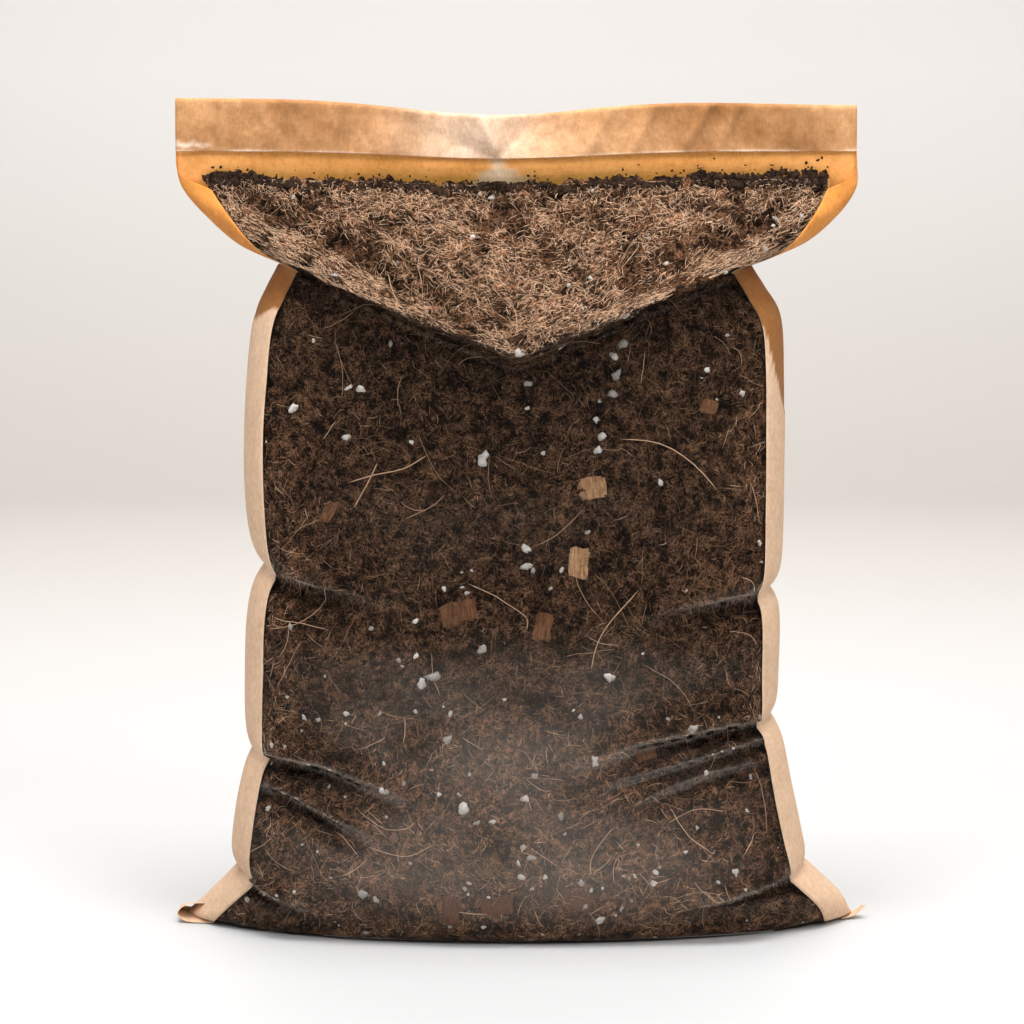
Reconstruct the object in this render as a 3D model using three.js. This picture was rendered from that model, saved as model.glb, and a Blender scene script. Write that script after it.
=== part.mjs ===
// A filled bag of potting compost, standing upright on its bottom seam. Millimetres, +Z up, front facing -Y.
//
// One kraft paper sheet makes the back, the sides and two narrow front margins. A clear film window closes
// the front, and a folded paper strip closes the mouth. The compost inside is one soft mass, and the flat
// mouth of the bag has sagged, so that the top of the front hangs forward as a lip over the body.
//
// The skins and the compost share one loft. Each station of the loft is a flattened ring, given by its two
// side edges and by the middle of its front and of its back.

import * as THREE from 'three';

// ---- driving dimensions ----

const SKIN_GAP = 0.3; // clearance between touching pieces
const SKIN_THICKNESS = 0.3; // paper and film alike
const STRIP_HEIGHT = 25; // closing strip, from its lower edge to its fold
const STRIP_THICKNESS = 0.4;
const STRIP_CLEARANCE = 2; // from the middle of the flat mouth to the inside of the strip
const MOUTH_TOP = 396; // height of the strip's fold before the dent
const SOIL_LINE = 357; // the compost ends here, at the mouth
const MOUTH_Y = -12; // depth of the flat mouth
const MOUTH_HALF_WIDTH = 160.5;
const MOUTH_HALF_DEPTH = 0.5; // half the distance between the two sheets at the mouth
const FILL_REACH = 148; // the compost doesn't get into the outer corners of the bag

const COLUMNS = 22; // across one face of the ring
const MARGIN_COLUMNS = 3; // the part of the front face on each side that is paper
const ROWS_PER_STATION = 2;
const SEAM_HALF_GAP = 0.25; // the bottom seam, where film and paper meet under the bag
const BASE_Z = SKIN_GAP + SKIN_THICKNESS; // underside of the compost

// The shallow dent in the middle of the mouth, where the strip has buckled.
const DENT = {
  x: -9,
  halfWidth: 62,
  foldZ: MOUTH_TOP - STRIP_HEIGHT,
  foldDrop: 3.5,
  topDrop: 8,
  forward: 8,
  reach: 16,
};

// Stations from the bottom seam to the soil line. side holds [x of the left edge, x of the right edge, z],
// front and back hold [y, z] in the middle. power is the squareness of the ring's section, and flat is the
// fraction of its width that stays level before it turns up to the side edges.
const STATIONS = [
  { side: [-166, 168, 0.7], front: [-SEAM_HALF_GAP, 0], back: [SEAM_HALF_GAP, 0], power: 1.8, flat: 0.7 },
  { side: [-165, 167, 1.4], front: [-34, 0], back: [34, 0], power: 1.8, flat: 0.7 },
  { side: [-163, 165, 2.4], front: [-55, 0], back: [55, 0], power: 1.9, flat: 0.7 },
  { side: [-153, 160, 9], front: [-65, 9], back: [64, 9], power: 2.0, flat: 0 },
  { side: [-134, 139, 27], front: [-69, 27], back: [67, 27], power: 2.4, flat: 0 },
  { side: [-137, 140, 42], front: [-69, 42], back: [67, 42], power: 2.5, flat: 0 },
  { side: [-130, 131, 68], front: [-68, 68], back: [66, 68], power: 2.6, flat: 0 },
  { side: [-124, 121, 93], front: [-65, 93], back: [65, 93], power: 2.6, flat: 0 },
  { side: [-130, 126, 132], front: [-66, 132], back: [65, 132], power: 2.6, flat: 0 },
  { side: [-120, 120, 169], front: [-64, 169], back: [64, 169], power: 2.6, flat: 0 },
  { side: [-129, 128, 200], front: [-64, 192], back: [64, 200], power: 2.6, flat: 0 },
  { side: [-129, 128, 245], front: [-63, 215], back: [62, 235], power: 2.6, flat: 0 },
  { side: [-124, 126, 292], front: [-61, 240], back: [58, 268], power: 2.5, flat: 0 },
  { side: [-116, 117, 308], front: [-59, 263], back: [54, 284], power: 2.4, flat: 0 },
  { side: [-112, 112, 319], front: [-84, 278], back: [46, 300], power: 2.2, flat: 0 },
  { side: [-134, 138, 329], front: [-67, 298], back: [34, 318], power: 2.0, flat: 0 },
  { side: [-149, 153, 343], front: [-42, 327], back: [14, 338], power: 2.0, flat: 0 },
  { side: [-159, 160, SOIL_LINE], front: [-16, SOIL_LINE], back: [-8, SOIL_LINE], power: 2.0, flat: 0 },
];

// The mouth above the soil line, where the two skins lie flat together inside the strip.
const MOUTH_LEVELS = [SOIL_LINE + 7, MOUTH_TOP - STRIP_HEIGHT, MOUTH_TOP - STRIP_HEIGHT / 2, MOUTH_TOP - 4];

// ---- the loft ----

const mouthStations = MOUTH_LEVELS.map((z) => ({
  side: [-MOUTH_HALF_WIDTH, MOUTH_HALF_WIDTH, z],
  front: [MOUTH_Y - MOUTH_HALF_DEPTH, z],
  back: [MOUTH_Y + MOUTH_HALF_DEPTH, z],
  power: 2.0,
  flat: 0,
}));
const stations = [...STATIONS, ...mouthStations];

// The side edges run straight up from the base and lean forward only where they meet the mouth.
function sideDepth(z) {
  return MOUTH_Y * THREE.MathUtils.smoothstep(z, 280, SOIL_LINE);
}

function curveThrough(points) {
  return new THREE.CatmullRomCurve3(points, false, 'centripetal');
}

const curves = {
  left: curveThrough(stations.map((s) => new THREE.Vector3(s.side[0], sideDepth(s.side[2]), s.side[2]))),
  right: curveThrough(stations.map((s) => new THREE.Vector3(s.side[1], sideDepth(s.side[2]), s.side[2]))),
  front: curveThrough(stations.map((s) => new THREE.Vector3(0, ...s.front))),
  back: curveThrough(stations.map((s) => new THREE.Vector3(0, ...s.back))),
};

const ROWS = (stations.length - 1) * ROWS_PER_STATION;
const SOIL_ROW = (STATIONS.length - 1) * ROWS_PER_STATION;
const BASE_ROW = 2 * ROWS_PER_STATION;
const RING = 2 * COLUMNS;

function stationValue(row, key) {
  const at = row / ROWS_PER_STATION;
  const low = Math.min(Math.floor(at), stations.length - 2);
  return THREE.MathUtils.lerp(stations[low][key], stations[low + 1][key], at - low);
}

// A point of the ring at one row. Column 0 is the left edge, COLUMNS is the right edge, and the ring runs
// across the front first and returns across the back.
function ringPoint(column, row) {
  const onFront = column <= COLUMNS;
  const across = onFront ? column / COLUMNS : 2 - column / COLUMNS;
  const angle = Math.abs(2 * across - 1) * (Math.PI / 2);
  const sharpness = 2 / stationValue(row, 'power');
  const outward = Math.sin(angle) ** sharpness;
  const inward = 1 - Math.max(Math.cos(angle), 0) ** sharpness;
  const flat = stationValue(row, 'flat');
  const rise = Math.max(0, (outward - flat) / (1 - flat));
  const t = row / ROWS;
  const edge = (across < 0.5 ? curves.left : curves.right).getPoint(t);
  const middle = (onFront ? curves.front : curves.back).getPoint(t);
  const z = THREE.MathUtils.lerp(row <= BASE_ROW ? 0 : middle.z, edge.z, rise);
  return new THREE.Vector3(edge.x * outward, THREE.MathUtils.lerp(middle.y, edge.y, inward), BASE_Z + z);
}

// The dent bends everything near the mouth together, so the gaps between the pieces stay.
function dented(point) {
  const near = Math.exp(-(((point.x - DENT.x) / DENT.halfWidth) ** 2));
  const lift = THREE.MathUtils.clamp((point.z - DENT.foldZ) / STRIP_HEIGHT, 0, 1);
  const drop = THREE.MathUtils.lerp(DENT.foldDrop, DENT.topDrop, lift);
  const start = THREE.MathUtils.smoothstep(point.z, DENT.foldZ - 2 * DENT.reach, DENT.foldZ);
  const pull = Math.exp(-(((point.z - DENT.foldZ) / DENT.reach) ** 2));
  return new THREE.Vector3(
    point.x,
    point.y - DENT.forward * near * pull,
    point.z - drop * near * start,
  );
}

// ---- meshes from grids ----

function geometryOf(points, triangles) {
  const geometry = new THREE.BufferGeometry();
  geometry.setAttribute('position', new THREE.Float32BufferAttribute(points.flatMap((p) => p.toArray()), 3));
  geometry.setIndex(triangles);
  return geometry;
}

// Two triangles on the corners a, b, c, d, in order round the quad.
function quad(a, b, c, d) {
  return [a, b, c, a, c, d];
}

function loftGrid() {
  const points = [];
  const triangles = [];
  for (let row = 0; row <= ROWS; row += 1) {
    for (let column = 0; column < RING; column += 1) {
      points.push(ringPoint(column, row));
    }
  }
  for (let row = 0; row < ROWS; row += 1) {
    for (let column = 0; column < RING; column += 1) {
      const next = (column + 1) % RING;
      const low = row * RING;
      const high = low + RING;
      triangles.push(...quad(low + column, low + next, high + next, high + column));
    }
  }
  const geometry = geometryOf(points, triangles);
  geometry.computeVertexNormals();
  const normals = points.map((_, i) => new THREE.Vector3().fromBufferAttribute(geometry.attributes.normal, i));
  return { points, normals };
}

const loft = loftGrid();

function offsetPoint(column, row, distance) {
  const index = row * RING + (column % RING);
  return loft.points[index].clone().addScaledVector(loft.normals[index], distance);
}

// The compost: the loft itself from the bottom seam to the soil line, closed across at both ends.
function fillGeometry() {
  const points = [];
  const triangles = [];
  for (let row = 0; row <= SOIL_ROW; row += 1) {
    for (let column = 0; column < RING; column += 1) {
      const point = offsetPoint(column, row, 0);
      point.x = THREE.MathUtils.clamp(point.x, -FILL_REACH, FILL_REACH);
      points.push(dented(point));
    }
  }
  for (let row = 0; row < SOIL_ROW; row += 1) {
    for (let column = 0; column < RING; column += 1) {
      const next = (column + 1) % RING;
      const low = row * RING;
      const high = low + RING;
      triangles.push(...quad(low + column, low + next, high + next, high + column));
    }
  }
  const top = SOIL_ROW * RING;
  for (let column = 0; column < COLUMNS; column += 1) {
    const behind = (RING - column) % RING;
    const nextBehind = RING - column - 1;
    triangles.push(...quad(column, behind, nextBehind, column + 1));
    triangles.push(...quad(top + column, top + column + 1, top + nextBehind, top + behind));
  }
  return geometryOf(points, triangles.filter((_, i) => keepsArea(triangles, i)));
}

// The two end closures start and finish in a corner, where one triangle of the quad has no width.
function keepsArea(triangles, i) {
  const [a, b, c] = triangles.slice(i - (i % 3), i - (i % 3) + 3);
  return a !== b && b !== c && c !== a;
}

// A sheet of SKIN_THICKNESS over the loft, from one column of the ring to another, with its four edges closed.
// corner gives the sheet's point on its inner (0) or outer (1) face.
function sheetGeometry(across, along, corner) {
  const points = [];
  const triangles = [];
  const width = across + 1;
  const layer = width * (along + 1);
  for (let face = 0; face <= 1; face += 1) {
    for (let row = 0; row <= along; row += 1) {
      for (let column = 0; column <= across; column += 1) {
        points.push(dented(corner(column, row, face)));
      }
    }
  }
  const inner = (column, row) => row * width + column;
  const outer = (column, row) => layer + inner(column, row);
  for (let row = 0; row < along; row += 1) {
    for (let column = 0; column < across; column += 1) {
      const [c, r] = [column + 1, row + 1];
      triangles.push(...quad(outer(column, row), outer(c, row), outer(c, r), outer(column, r)));
      triangles.push(...quad(inner(column, row), inner(column, r), inner(c, r), inner(c, row)));
    }
  }
  for (let row = 0; row < along; row += 1) {
    const r = row + 1;
    triangles.push(...quad(inner(0, row), outer(0, row), outer(0, r), inner(0, r)));
    triangles.push(...quad(outer(across, row), inner(across, row), inner(across, r), outer(across, r)));
  }
  for (let column = 0; column < across; column += 1) {
    const c = column + 1;
    triangles.push(...quad(inner(column, 0), inner(c, 0), outer(c, 0), outer(column, 0)));
    triangles.push(...quad(outer(column, along), outer(c, along), inner(c, along), inner(column, along)));
  }
  return geometryOf(points, triangles);
}

function skinDistance(face) {
  return SKIN_GAP + SKIN_THICKNESS * face;
}

// The film reaches from margin to margin. Its side edges stop just short of the paper's.
function filmGeometry() {
  const across = COLUMNS - 2 * MARGIN_COLUMNS;
  return sheetGeometry(across, ROWS, (column, row, face) => {
    const point = offsetPoint(MARGIN_COLUMNS + column, row, skinDistance(face));
    if (column === 0) {
      point.lerp(offsetPoint(MARGIN_COLUMNS + 1, row, skinDistance(face)), 0.04);
    }
    if (column === across) {
      point.lerp(offsetPoint(MARGIN_COLUMNS + across - 1, row, skinDistance(face)), 0.04);
    }
    return point;
  });
}

// The paper starts at the right-hand front margin, goes round the back and ends at the left-hand margin.
function paperGeometry() {
  const first = COLUMNS - MARGIN_COLUMNS;
  const across = COLUMNS + 2 * MARGIN_COLUMNS;
  return sheetGeometry(across, ROWS, (column, row, face) => (
    offsetPoint(first + column, row, skinDistance(face))
  ));
}

// The closing strip: a U section over the mouth, with its ends open.
function stripGeometry() {
  const foldSteps = 6;
  const legSteps = 4;
  const lower = MOUTH_TOP - STRIP_HEIGHT;
  const section = (step, face) => {
    const radius = STRIP_CLEARANCE + STRIP_THICKNESS * face;
    const legTop = MOUTH_TOP - STRIP_CLEARANCE - STRIP_THICKNESS;
    if (step < legSteps) {
      return [MOUTH_Y - radius, THREE.MathUtils.lerp(lower, legTop, step / legSteps)];
    }
    if (step > legSteps + foldSteps) {
      return [MOUTH_Y + radius, THREE.MathUtils.lerp(legTop, lower, (step - legSteps - foldSteps) / legSteps)];
    }
    const turn = ((step - legSteps) / foldSteps) * Math.PI;
    return [MOUTH_Y - radius * Math.cos(turn), legTop + radius * Math.sin(turn)];
  };
  return sheetGeometry(COLUMNS, 2 * legSteps + foldSteps, (column, row, face) => {
    const [y, z] = section(row, face);
    return new THREE.Vector3(MOUTH_HALF_WIDTH * ((2 * column) / COLUMNS - 1), y, z);
  });
}

// ---- pieces ----

function piece(name, geometry, color, roughness) {
  const material = new THREE.MeshStandardMaterial({ color, roughness, metalness: 0 });
  const mesh = new THREE.Mesh(geometry, material);
  mesh.name = name;
  return mesh;
}

const group = new THREE.Group();
group.add(
  piece('compost_fill', fillGeometry(), 0x3a2820, 0.95),
  piece('front_film', filmGeometry(), 0x8a8078, 0.12),
  piece('kraft_sheet', paperGeometry(), 0xd8b48c, 0.8),
  piece('closing_strip', stripGeometry(), 0xc9965f, 0.8),
);

// The origin is under the middle of the bag's box.
const middle = new THREE.Box3().setFromObject(group).getCenter(new THREE.Vector3());
group.position.set(-middle.x, -middle.y, 0);

export default group;
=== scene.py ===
"""Looks for a filled bag of potting compost: clear film front, kraft paper back and margins, closed mouth.

Every surface is worked out on one loft, the same rings as the bag's solids: a ring runs from the left side
edge across the front to the right side edge and back behind. Lengths here are millimetres in the bag's own
frame, and to_world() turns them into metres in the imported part's frame. The stage and lights are in metres.
"""
import math

import bmesh
import bpy
import numpy as np
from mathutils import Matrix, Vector


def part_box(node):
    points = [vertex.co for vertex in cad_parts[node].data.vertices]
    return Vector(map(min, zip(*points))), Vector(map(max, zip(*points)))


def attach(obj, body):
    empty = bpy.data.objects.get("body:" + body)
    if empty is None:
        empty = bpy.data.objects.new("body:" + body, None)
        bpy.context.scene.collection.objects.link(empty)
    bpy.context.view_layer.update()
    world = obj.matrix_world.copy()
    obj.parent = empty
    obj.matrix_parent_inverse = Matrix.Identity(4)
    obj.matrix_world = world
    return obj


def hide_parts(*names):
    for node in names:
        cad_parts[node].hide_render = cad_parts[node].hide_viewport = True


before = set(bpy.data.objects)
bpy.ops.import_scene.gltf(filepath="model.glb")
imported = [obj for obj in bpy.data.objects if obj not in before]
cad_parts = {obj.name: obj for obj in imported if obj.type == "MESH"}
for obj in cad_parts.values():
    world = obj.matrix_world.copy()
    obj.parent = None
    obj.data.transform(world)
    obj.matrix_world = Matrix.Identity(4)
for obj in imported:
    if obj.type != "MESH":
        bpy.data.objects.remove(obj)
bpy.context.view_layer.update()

MM = 0.001
rng = np.random.default_rng(7)

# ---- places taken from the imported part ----

strip_low, strip_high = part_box("closing_strip")
paper_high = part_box("kraft_sheet")[1]

BAG_HEIGHT = strip_high.z / MM
STRIP_HEIGHT = 25.0
STRIP_THICKNESS = 0.5
MOUTH_HALF_WIDTH = (strip_high.x - strip_low.x) / 2 / MM
FOLD_Z = BAG_HEIGHT - STRIP_HEIGHT
SOIL_LINE = 357.0
MOUTH_Y = -12.0
PAPER_THICKNESS = 0.22
PAPER_OUT = 0.62  # how far the paper's outside stands off the loft
FILM_THICKNESS = 0.12
FILM_OUT = 0.45  # how far the film's outside stands off the loft
BACK_REACH = 67.8  # from the bag's own origin back to the farthest point of its paper

ORIGIN = np.array([
    (strip_low.x + strip_high.x) / 2,
    paper_high.y - BACK_REACH * MM,
    0.0,
])


def to_world(points):
    return np.asarray(points, dtype=float) * MM + ORIGIN


# ---- small numeric helpers ----

def smoothstep(low, high, value):
    t = np.clip((np.asarray(value, dtype=float) - low) / (high - low), 0.0, 1.0)
    return t * t * (3 - 2 * t)


def bump(value, centre, width):
    return np.exp(-(((value - centre) / width) ** 2))


def lattice(cell, seed):
    """A repeatable number from -1 to 1 for each whole-number cell."""
    mixed = cell[..., 0] * 73856093 ^ cell[..., 1] * 19349663 ^ cell[..., 2] * 83492791 ^ seed * 2654435761
    mixed = (mixed ^ (mixed >> 13)) * 1274126177
    mixed = mixed ^ (mixed >> 16)
    return (mixed & 0xFFFF) / 32767.5 - 1.0


def noise(points, size, seed=0):
    """Smooth noise from -1 to 1 over points in millimetres, with features of the given size."""
    p = np.asarray(points, dtype=float) / size
    cell = np.floor(p).astype(np.int64)
    f = p - cell
    f = f * f * (3 - 2 * f)
    total = np.zeros(p.shape[:-1])
    for corner in np.ndindex(2, 2, 2):
        weight = np.ones(p.shape[:-1])
        for axis in range(3):
            weight = weight * (f[..., axis] if corner[axis] else 1 - f[..., axis])
        total = total + weight * lattice(cell + np.array(corner), seed)
    return total


def spline(values, at):
    """Catmull-Rom through rows of values, read at fractional row numbers."""
    values = np.asarray(values, dtype=float)
    last = len(values) - 1
    i = np.clip(np.floor(at).astype(int), 0, last - 1)
    f = (at - i)[:, None]
    p0 = values[np.maximum(i - 1, 0)]
    p1 = values[i]
    p2 = values[i + 1]
    p3 = values[np.minimum(i + 2, last)]
    tangent_in = (p2 - p0) / 2
    tangent_out = (p3 - p1) / 2
    f2 = f * f
    f3 = f2 * f
    return ((2 * f3 - 3 * f2 + 1) * p1 + (f3 - 2 * f2 + f) * tangent_in
            + (3 * f2 - 2 * f3) * p2 + (f3 - f2) * tangent_out)


# ---- the loft ----

# Each station: left edge x, right edge x, edge z, front y, front z, back y, back z, squareness of the ring,
# and the fraction of its width that stays level.
STATIONS = np.array([
    [-160, 163, 1.2, -0.3, 0.0, 0.3, 0.0, 1.8, 0.7],
    [-160, 163, 2.0, -34, 0.0, 34, 0.0, 1.8, 0.7],
    [-158, 162, 3.6, -56, 0.4, 55, 0.4, 1.9, 0.7],
    [-150, 158, 11, -65, 9, 64, 9, 2.1, 0.0],
    [-141, 148, 22, -68, 24, 67, 24, 2.5, 0.0],
    [-138, 140, 38, -69, 40, 67, 40, 2.8, 0.0],
    [-135, 135, 57, -68, 62, 66, 62, 3.0, 0.0],
    [-131, 130, 82, -66, 90, 65, 90, 3.2, 0.0],
    [-130, 126, 116, -65, 124, 65, 124, 3.3, 0.0],
    [-129.5, 126, 140, -65, 150, 65, 150, 3.3, 0.0],
    [-128, 127, 176, -63, 180, 64, 186, 3.3, 0.0],
    [-129.5, 127.5, 222, -63, 206, 63, 222, 3.3, 0.0],
    [-128, 127.5, 262, -62, 226, 61, 250, 3.2, 0.0],
    [-124.5, 126, 292, -60, 246, 57, 272, 3.0, 0.0],
    [-118.5, 118, 307, -57, 262, 52, 288, 2.8, 0.0],
    [-113.5, 112, 316, -58, 272, 46, 299, 2.5, 0.0],
    [-112.5, 111, 319, -84, 277.5, 44, 304, 2.2, 0.0],
    [-131, 135, 327, -70, 295, 33, 318, 2.0, 0.0],
    [-146, 151, 340, -44, 325, 15, 337, 2.0, 0.0],
    [-157, 160, 353, -20, 350, -3, 352, 2.0, 0.0],
    [-160, 160.5, 364, -13.2, 364, -10.8, 364, 2.0, 0.0],
    [-160.3, 160.3, 371, -12.5, 371, -11.5, 371, 2.0, 0.0],
    [-160.3, 160.3, 380, -12.5, 380, -11.5, 380, 2.0, 0.0],
    [-160.3, 160.3, 389, -12.5, 389, -11.5, 389, 2.0, 0.0],
])
LEFT, RIGHT, EDGE_Z, FRONT_Y, FRONT_Z, BACK_Y, BACK_Z, SQUARENESS, LEVEL = range(9)
LAST_STATION = len(STATIONS) - 1
SOIL_LAST = 19.5  # the station of the soil line
STRIP_STATION = 21.0  # the station of the strip's lower edge
SEAM_REACH = 0.915  # the paper margins start at this fraction of the way out to the side edge
FLOOR_GAP = 0.6  # the loft is this far above the floor, with the film and the paper under it

# Pinches in the side edges: side, height, depth, half-width.
PINCHES = [
    (-1, 175, 9.0, 8.0),
    (-1, 86, 5.0, 6.0),
    (-1, 27, 7.0, 5.0),
    (1, 164, 7.0, 5.0),
    (1, 102, 7.5, 6.0),
    (1, 28, 7.0, 5.0),
]


def side_depth(z):
    return MOUTH_Y * smoothstep(280, SOIL_LINE, z)


def pinch(side, z):
    total = np.zeros_like(z)
    for which, at, depth, half in PINCHES:
        if which == side:
            total = total + depth * np.exp(-np.abs(z - at) / half)
    return total


def fill_edge(rows):
    """How far out the compost shows in each row, from 0 in the middle to 1 at the side edge."""
    power = spline(STATIONS, rows)[:, SQUARENESS]
    return np.arcsin(SEAM_REACH ** (power / 2)) / (math.pi / 2)


def seam(rows):
    """Where the paper margins start: at the compost's edge, and at the side edge once above the compost."""
    low = fill_edge(rows)
    return low + (0.97 - low) * smoothstep(SOIL_LAST - 0.6, SOIL_LAST + 0.2, rows)


def loft(across, rows, back=False):
    """Points for positions across (-1 left edge to 1 right edge, a row of them for each of rows)."""
    s = spline(STATIONS, rows)[:, :, None]
    angle = np.abs(across) * (math.pi / 2)
    sharpness = 2 / s[:, SQUARENESS]
    outward = np.sin(angle) ** sharpness
    inward = 1 - np.clip(np.cos(angle), 0, 1) ** sharpness
    flat = np.clip(s[:, LEVEL], 0, 0.9)
    rise = np.clip((outward - flat) / (1 - flat), 0, None)
    left = across < 0
    edge_z = s[:, EDGE_Z]
    notch = np.where(left, pinch(-1, edge_z), pinch(1, edge_z)) * outward ** 6
    x = np.where(left, s[:, LEFT], s[:, RIGHT]) * outward
    x = x - np.sign(x) * notch
    middle_y = s[:, BACK_Y] if back else s[:, FRONT_Y]
    middle_z = s[:, BACK_Z] if back else s[:, FRONT_Z]
    y = middle_y + (side_depth(edge_z) - middle_y) * inward
    z = middle_z + (edge_z - middle_z) * rise
    return np.stack([x, y, z + FLOOR_GAP], axis=-1)


def normals(grid):
    """Unit normals of a grid of points, rows up and columns across, facing out of the front."""
    along = np.gradient(grid, axis=0)
    over = np.gradient(grid, axis=1)
    n = np.cross(over, along)
    return n / np.maximum(np.linalg.norm(n, axis=-1, keepdims=True), 1e-9)


def even_rows(count, first=0.0, last=LAST_STATION):
    """Row positions spaced evenly up the front, by its middle and in part by its side edge."""
    dense = np.linspace(first, last, 1600)
    s = spline(STATIONS, dense)
    middle = np.diff(s[:, [FRONT_Y, FRONT_Z]], axis=0)
    side = np.diff(s[:, [LEFT, EDGE_Z]], axis=0)
    steps = np.linalg.norm(middle, axis=1) + 0.35 * np.linalg.norm(side, axis=1)
    length = np.concatenate([[0], np.cumsum(steps)])
    return np.interp(np.linspace(0, length[-1], count), length, dense)


# ---- folds and creases ----

# Creases of the front, from a side pinch inwards: points (x, z), height of the step, softness above, below.
FRONT_CREASES = [
    ([(-136, 176), (-119, 175.5), (-97, 169), (-80, 165.5), (-55, 160)], 6.5, 9.0, 8.0),
    ([(-136, 87), (-112, 87), (-90, 84), (-72, 77), (-45, 66)], 6.5, 9.0, 5.0),
    ([(-114, 73), (-102, 69), (-87, 60), (-74, 51)], 4.4, 5.0, 4.0),
    ([(-112, 71), (-94, 64), (-76, 55), (-58, 45)], 3.4, 4.0, 4.0),
    ([(134, 165), (101, 162.5), (81, 159), (50, 152)], 5.0, 9.0, 7.0),
    ([(134, 103), (100, 103), (82, 100), (58, 95), (22, 82)], 6.0, 8.0, 5.0),
    ([(110, 94), (96, 91), (77, 86), (37, 75)], 4.4, 5.0, 4.0),
    ([(106, 84), (90, 81), (72, 75), (50, 66)], 3.0, 4.0, 4.0),
    ([(-142, 29), (-130, 26), (-118, 21), (-102, 14.5), (-80, 8)], 7.0, 8.0, 6.0),
    ([(144, 30), (130, 28), (114, 24), (92, 19), (62, 13)], 6.0, 8.0, 6.0),
]

# Soft valleys in the slope below the mouth: points (x, z), depth, half-width.
VALLEYS = [
    ([(-132, 350), (-100, 338), (-80, 328), (-45, 308), (-20, 294)], 6.5, 6.5),
    ([(50, 312), (80, 322), (105, 332), (132, 347)], 4.5, 7.0),
    ([(-20, 343), (20, 326), (44, 300)], 3.0, 8.0),
]

# Dark pockets where the slope folds over the body: x, z, half-width, half-height.
POCKETS = [
    (-95, 308, 9, 7),
    (100, 303, 6, 10),
]


def crease_line(path, x):
    """The height of a crease at each x, and how far that is from its inner end, 0, to its outer end, 1."""
    xs, zs = np.array(path, dtype=float).T
    order = np.argsort(xs)
    return np.interp(x, xs[order], zs[order]), (x - xs[-1]) / (xs[0] - xs[-1])


def crease_step(x, z, path, height, above, below, sharp=0.9):
    """A fold that bulges above its line and tucks in below it, dying out towards its inner end."""
    line, along = crease_line(path, x)
    fade = smoothstep(0.0, 0.55, along) * smoothstep(1.15, 1.0, along)
    s = z - line
    lip = np.where(s > 0, np.exp(-np.abs(s) / above), -1.15 * np.exp(-np.abs(s) / below))
    return height * fade * lip * np.tanh(np.abs(s) / sharp)


def fold_band(points, centre, width):
    """From 0 to 1: a band along each fold, its centre and width as shares of the fold's softness below."""
    total = np.zeros(points.shape[:-1])
    for path, height, _, below in FRONT_CREASES:
        line, along = crease_line(path, points[..., 0])
        band = bump(line - points[..., 2], centre * below, width * below)
        total = np.maximum(total, smoothstep(0.15, 0.6, along) * band * min(1.0, height / 4))
    return total


def hollow(points):
    """From 0 to about 1: the gap left behind the film where a fold tucks in."""
    total = fold_band(points, 0.6, 0.45)
    for x, z, half_width, half_height in POCKETS:
        pocket = 1.5 * bump(points[..., 0], x, half_width) * bump(points[..., 2], z, half_height)
        total = np.maximum(total, pocket)
    return total


def valley(x, z):
    """How far the slope dips along its valleys."""
    total = np.zeros(x.shape)
    for path, depth, half in VALLEYS:
        xs, zs = np.array(path, dtype=float).T
        inside = smoothstep(xs[0] - 8, xs[0] + 10, x) * smoothstep(xs[-1] + 8, xs[-1] - 10, x)
        total = total + depth * inside * bump(z, np.interp(x, xs, zs), half)
    return total


def front_relief(points):
    """How far the front stands out from the loft, in millimetres."""
    x = points[..., 0]
    z = points[..., 2]
    total = np.zeros(x.shape)
    for path, height, above, below in FRONT_CREASES:
        total = total + crease_step(x, z, path, height, above, below)
    on_slope = smoothstep(-1, 1, z + 0.9 * points[..., 1] - 225)
    total = total - on_slope * valley(x, z)
    soft = 1.5 * noise(points, 55, 3) + (0.7 + 0.7 * on_slope) * noise(points, 22, 4)
    total = total + soft * smoothstep(2, 20, z) * (1 - smoothstep(345, 360, z))
    return total


def back_relief(points):
    """How far the back stands out from the loft: the front's folds go on into it, softer."""
    x = points[..., 0]
    z = points[..., 2]
    total = np.zeros(x.shape)
    for path, height, above, below in FRONT_CREASES:
        step = crease_step(x, z + 4 * np.sign(x), path, height, above, 1.5 * below, sharp=2.5)
        total = total + 0.8 * step
    soft = 2.0 * noise(points, 60, 13) + 0.8 * noise(points, 24, 14)
    return total + soft * smoothstep(2, 20, z) * (1 - smoothstep(340, 360, z))


# The buckle in the middle of the mouth: facets fan out from one point. Each ray: direction in degrees
# anticlockwise from the right, and how far it leans forward for each millimetre out from the point.
STAR = (-8.6, 367.0)
STAR_RAYS = [(0, 0.0), (50, -0.25), (112, 0.60), (158, -0.05), (180, 0.0),
             (228, -0.08), (262, 0.60), (314, -0.08), (360, 0.0)]
STAR_REACH = 26.0
DENT_WIDTH = 62


def star(x, z):
    """How far the facets of the buckle lean forward."""
    away = np.hypot(x - STAR[0], z - STAR[1])
    direction = np.degrees(np.arctan2(z - STAR[1], x - STAR[0])) % 360
    angles, leans = zip(*STAR_RAYS)
    return away * np.interp(direction, angles, leans) * np.exp(-((away / STAR_REACH) ** 2))


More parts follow.
